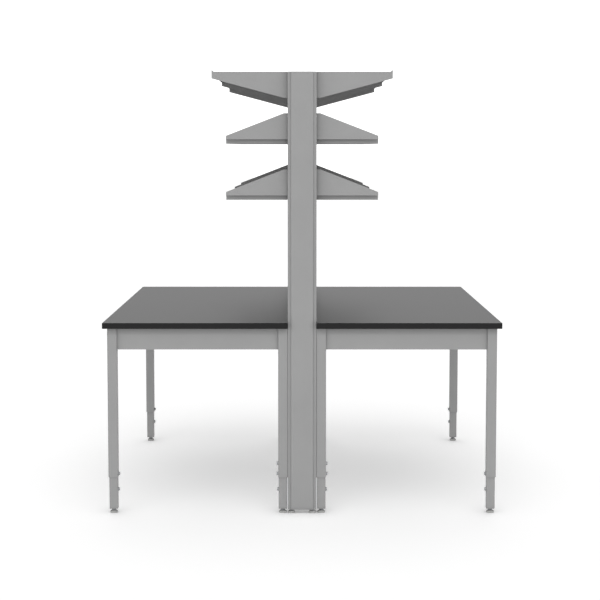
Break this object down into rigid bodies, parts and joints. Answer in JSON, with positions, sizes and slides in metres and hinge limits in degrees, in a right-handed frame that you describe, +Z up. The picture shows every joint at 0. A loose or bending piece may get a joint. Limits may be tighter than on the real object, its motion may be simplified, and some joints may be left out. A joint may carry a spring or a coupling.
{
  "type": "lab bench with reagent shelf",
  "caption": "Double-sided laboratory bench: two black worktops on telescoping steel legs, back to back against a slotted spine that carries reagent shelves on tapered wings.",
  "frame": {"origin": "on the floor, at the middle of the bench's plan", "axes": "+X across the bench to the right, +Y along its length to the rear end, +Z up"},
  "size_m": [1.642, 1.829, 1.8265],
  "materials": {
    "worktop_board": "black phenolic resin board, fine matt texture",
    "frame_paint": "light grey powder coat, satin",
    "shelf_paint": "light grey powder coat, satin",
    "zinc": "zinc-plated steel, dull"
  },
  "bodies": {
    "bench_frame": {"end_aprons_left": "frame_paint", "end_aprons_right": "frame_paint", "end_cover_front": "frame_paint", "end_cover_rear": "frame_paint", "leg_clamp_bolts": "zinc", "leg_tube_inner_left_front": "frame_paint", "leg_tube_inner_left_rear": "frame_paint", "leg_tube_inner_right_front": "frame_paint", "leg_tube_inner_right_rear": "frame_paint", "leg_tube_outer_left_front": "frame_paint", "leg_tube_outer_left_rear": "frame_paint", "leg_tube_outer_right_front": "frame_paint", "leg_tube_outer_right_rear": "frame_paint", "side_aprons_left": "frame_paint", "side_aprons_right": "frame_paint", "spine_rails": "frame_paint", "spine_tie_bolts": "zinc", "upright_left_front": "frame_paint", "upright_left_rear": "frame_paint", "upright_middle_left": "frame_paint", "upright_middle_right": "frame_paint", "upright_right_front": "frame_paint", "upright_right_rear": "frame_paint", "worktop_left": "worktop_board", "worktop_right": "worktop_board"},
    "insert_inner_right_front": {"leg_insert_inner_right_front": "frame_paint"},
    "foot_inner_right_front": {"leg_foot_inner_right_front": "zinc"},
    "insert_inner_right_rear": {"leg_insert_inner_right_rear": "frame_paint"},
    "foot_inner_right_rear": {"leg_foot_inner_right_rear": "zinc"},
    "insert_inner_left_front": {"leg_insert_inner_left_front": "frame_paint"},
    "foot_inner_left_front": {"leg_foot_inner_left_front": "zinc"},
    "insert_inner_left_rear": {"leg_insert_inner_left_rear": "frame_paint"},
    "foot_inner_left_rear": {"leg_foot_inner_left_rear": "zinc"},
    "insert_outer_right_front": {"leg_insert_outer_right_front": "frame_paint"},
    "foot_outer_right_front": {"leg_foot_outer_right_front": "zinc"},
    "insert_outer_right_rear": {"leg_insert_outer_right_rear": "frame_paint"},
    "foot_outer_right_rear": {"leg_foot_outer_right_rear": "zinc"},
    "insert_outer_left_front": {"leg_insert_outer_left_front": "frame_paint"},
    "foot_outer_left_front": {"leg_foot_outer_left_front": "zinc"},
    "insert_outer_left_rear": {"leg_insert_outer_left_rear": "frame_paint"},
    "foot_outer_left_rear": {"leg_foot_outer_left_rear": "zinc"},
    "foot_upright_right_front": {"upright_foot_right_front": "zinc"},
    "foot_upright_right_rear": {"upright_foot_right_rear": "zinc"},
    "foot_upright_left_front": {"upright_foot_left_front": "zinc"},
    "foot_upright_left_rear": {"upright_foot_left_rear": "zinc"},
    "foot_upright_middle_right": {"upright_foot_middle_right": "zinc"},
    "foot_upright_middle_left": {"upright_foot_middle_left": "zinc"},
    "shelf_top_right": {"top_deck_right": "shelf_paint", "top_wings_right": "shelf_paint"},
    "shelf_top_left": {"top_deck_left": "shelf_paint", "top_wings_left": "shelf_paint"},
    "shelf_upper_right": {"upper_deck_right": "shelf_paint", "upper_wings_right": "shelf_paint"},
    "shelf_upper_left": {"upper_deck_left": "shelf_paint", "upper_wings_left": "shelf_paint"},
    "shelf_lower_right": {"lower_deck_right": "shelf_paint", "lower_wings_right": "shelf_paint"},
    "shelf_lower_left": {"lower_deck_left": "shelf_paint", "lower_wings_left": "shelf_paint"}
  },
  "joints": [
    {"name": "telescope_inner_right_front", "type": "slide", "parent": "bench_frame", "child": "insert_inner_right_front", "axis": [0, 0, 1], "range_m": [-0.102, 0.042]},
    {"name": "level_inner_right_front", "type": "slide", "parent": "insert_inner_right_front", "child": "foot_inner_right_front", "axis": [0, 0, 1], "range_m": [-0.02, 0.0025]},
    {"name": "telescope_inner_right_rear", "type": "slide", "parent": "bench_frame", "child": "insert_inner_right_rear", "axis": [0, 0, 1], "range_m": [-0.102, 0.042]},
    {"name": "level_inner_right_rear", "type": "slide", "parent": "insert_inner_right_rear", "child": "foot_inner_right_rear", "axis": [0, 0, 1], "range_m": [-0.02, 0.0025]},
    {"name": "telescope_inner_left_front", "type": "slide", "parent": "bench_frame", "child": "insert_inner_left_front", "axis": [0, 0, 1], "range_m": [-0.102, 0.042]},
    {"name": "level_inner_left_front", "type": "slide", "parent": "insert_inner_left_front", "child": "foot_inner_left_front", "axis": [0, 0, 1], "range_m": [-0.02, 0.0025]},
    {"name": "telescope_inner_left_rear", "type": "slide", "parent": "bench_frame", "child": "insert_inner_left_rear", "axis": [0, 0, 1], "range_m": [-0.102, 0.042]},
    {"name": "level_inner_left_rear", "type": "slide", "parent": "insert_inner_left_rear", "child": "foot_inner_left_rear", "axis": [0, 0, 1], "range_m": [-0.02, 0.0025]},
    {"name": "telescope_outer_right_front", "type": "slide", "parent": "bench_frame", "child": "insert_outer_right_front", "axis": [0, 0, 1], "range_m": [-0.102, 0.042]},
    {"name": "level_outer_right_front", "type": "slide", "parent": "insert_outer_right_front", "child": "foot_outer_right_front", "axis": [0, 0, 1], "range_m": [-0.02, 0.0025]},
    {"name": "telescope_outer_right_rear", "type": "slide", "parent": "bench_frame", "child": "insert_outer_right_rear", "axis": [0, 0, 1], "range_m": [-0.102, 0.042]},
    {"name": "level_outer_right_rear", "type": "slide", "parent": "insert_outer_right_rear", "child": "foot_outer_right_rear", "axis": [0, 0, 1], "range_m": [-0.02, 0.0025]},
    {"name": "telescope_outer_left_front", "type": "slide", "parent": "bench_frame", "child": "insert_outer_left_front", "axis": [0, 0, 1], "range_m": [-0.102, 0.042]},
    {"name": "level_outer_left_front", "type": "slide", "parent": "insert_outer_left_front", "child": "foot_outer_left_front", "axis": [0, 0, 1], "range_m": [-0.02, 0.0025]},
    {"name": "telescope_outer_left_rear", "type": "slide", "parent": "bench_frame", "child": "insert_outer_left_rear", "axis": [0, 0, 1], "range_m": [-0.102, 0.042]},
    {"name": "level_outer_left_rear", "type": "slide", "parent": "insert_outer_left_rear", "child": "foot_outer_left_rear", "axis": [0, 0, 1], "range_m": [-0.02, 0.0025]},
    {"name": "level_upright_right_front", "type": "slide", "parent": "bench_frame", "child": "foot_upright_right_front", "axis": [0, 0, 1], "range_m": [-0.02, 0.0023]},
    {"name": "level_upright_right_rear", "type": "slide", "parent": "bench_frame", "child": "foot_upright_right_rear", "axis": [0, 0, 1], "range_m": [-0.02, 0.0023]},
    {"name": "level_upright_left_front", "type": "slide", "parent": "bench_frame", "child": "foot_upright_left_front", "axis": [0, 0, 1], "range_m": [-0.02, 0.0023]},
    {"name": "level_upright_left_rear", "type": "slide", "parent": "bench_frame", "child": "foot_upright_left_rear", "axis": [0, 0, 1], "range_m": [-0.02, 0.0023]},
    {"name": "level_upright_middle_right", "type": "slide", "parent": "bench_frame", "child": "foot_upright_middle_right", "axis": [0, 0, 1], "range_m": [-0.02, 0.0023]},
    {"name": "level_upright_middle_left", "type": "slide", "parent": "bench_frame", "child": "foot_upright_middle_left", "axis": [0, 0, 1], "range_m": [-0.02, 0.0023]},
    {"name": "lift_top_right", "type": "slide", "parent": "bench_frame", "child": "shelf_top_right", "axis": [0, 0, 1], "range_m": [0, 0.01]},
    {"name": "lift_top_left", "type": "slide", "parent": "bench_frame", "child": "shelf_top_left", "axis": [0, 0, 1], "range_m": [0, 0.01]},
    {"name": "lift_upper_right", "type": "slide", "parent": "bench_frame", "child": "shelf_upper_right", "axis": [0, 0, 1], "range_m": [0, 0.01]},
    {"name": "lift_upper_left", "type": "slide", "parent": "bench_frame", "child": "shelf_upper_left", "axis": [0, 0, 1], "range_m": [0, 0.01]},
    {"name": "lift_lower_right", "type": "slide", "parent": "bench_frame", "child": "shelf_lower_right", "axis": [0, 0, 1], "range_m": [0, 0.01]},
    {"name": "lift_lower_left", "type": "slide", "parent": "bench_frame", "child": "shelf_lower_left", "axis": [0, 0, 1], "range_m": [0, 0.01]}
  ]
}
